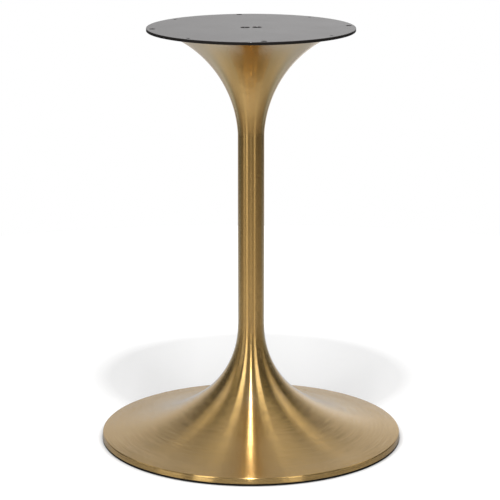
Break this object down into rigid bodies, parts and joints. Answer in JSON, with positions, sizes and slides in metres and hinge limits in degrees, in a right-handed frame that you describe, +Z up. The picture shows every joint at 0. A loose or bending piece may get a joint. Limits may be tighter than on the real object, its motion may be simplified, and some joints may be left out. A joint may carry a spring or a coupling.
{
  "type": "tulip table base",
  "caption": "Tulip table base: a slim round column that flares into a wide trumpet foot below and a smaller trumpet under a flat black mounting plate.",
  "frame": {"origin": "on the floor, at the middle of the round foot", "axes": "+Z up along the column; the larger plate holes lie on X and Y, and the two plate screws on X"},
  "size_m": [0.518, 0.5178, 0.715],
  "materials": {
    "black_powder_coat": "satin black powder coat on steel",
    "black_screw_steel": "matt black coated steel",
    "plain_steel": "turned steel",
    "brushed_brass": "brushed round the axis, clear satin",
    "ballast_iron": "rough cast, dark primer",
    "zinc_steel": "zinc plated",
    "black_rubber": "matt black rubber"
  },
  "bodies": {
    "root": {"top_plate": "black_powder_coat", "plate_screws": "black_screw_steel", "top_plug": "plain_steel", "column_tube": "brushed_brass", "upper_flare": "brushed_brass", "lower_flare": "brushed_brass", "bottom_plug": "plain_steel", "ballast_disc": "ballast_iron", "base_washer": "zinc_steel", "base_bolt": "zinc_steel", "floor_ring": "black_rubber"}
  },
  "joints": []
}
